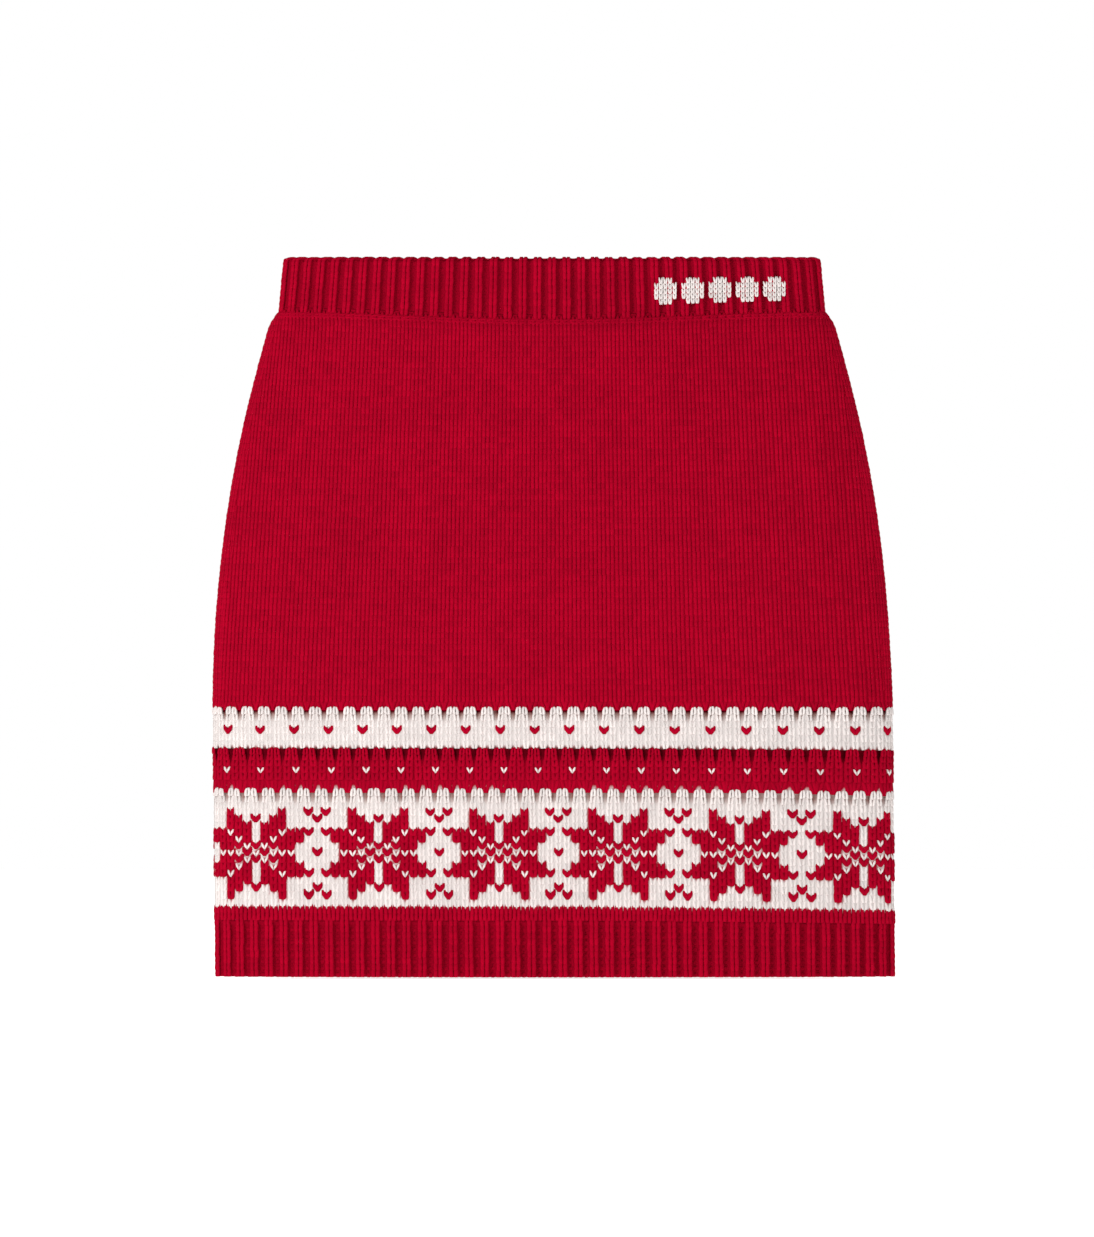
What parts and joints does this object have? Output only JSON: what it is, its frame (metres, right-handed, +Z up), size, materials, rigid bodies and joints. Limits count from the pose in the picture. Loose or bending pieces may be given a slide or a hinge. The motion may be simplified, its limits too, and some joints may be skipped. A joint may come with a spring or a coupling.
{
  "type": "knitted mini skirt",
  "caption": "Pull-on knitted mini skirt: folded ribbed waistband with elastic, plain body, patterned bands above a ribbed hem.",
  "frame": {"origin": "middle of the hem's lower edge, on the surface that the skirt stands on", "axes": "+Z up from hem to waistband, -Y out of the front of the skirt, +X to the wearer's left"},
  "size_m": [0.398, 0.0822, 0.42],
  "materials": {
    "red_wool": "soft brushed wool knit, matte with a fine halo of fibre",
    "white_wool": "soft brushed wool knit, off-white, matte",
    "elastic": "woven elastic, matte",
    "label": "woven satin label, slight sheen, blank",
    "thread": "polyester sewing thread"
  },
  "bodies": {
    "skirt": {"hem_rib_front": "red_wool", "hem_rib_back": "red_wool", "star_band_front": "white_wool", "star_band_back": "white_wool", "red_tick_band_front": "red_wool", "red_tick_band_back": "red_wool", "white_tick_band_front": "white_wool", "white_tick_band_back": "white_wool", "body_front": "red_wool", "body_back": "red_wool", "waistband_front": "red_wool", "waistband_back": "red_wool", "waist_elastic": "elastic", "waistband_linking_chain": "red_wool", "side_seam_left": "red_wool", "side_seam_right": "red_wool", "waistband_motif": "white_wool", "main_label_stitching": "thread"},
    "main_label": {"main_label": "label"},
    "care_label": {"care_label": "label"}
  },
  "joints": [
    {"name": "main_label_flap", "type": "hinge", "parent": "skirt", "child": "main_label", "pos_m": [0, 0.02285, 0.414], "axis": [-1, 0, 0], "range_deg": [0, 95]},
    {"name": "care_label_swing", "type": "hinge", "parent": "skirt", "child": "care_label", "pos_m": [0.18356, 0, 0.247], "axis": [0, 0, 1], "range_deg": [-20, 20]}
  ]
}
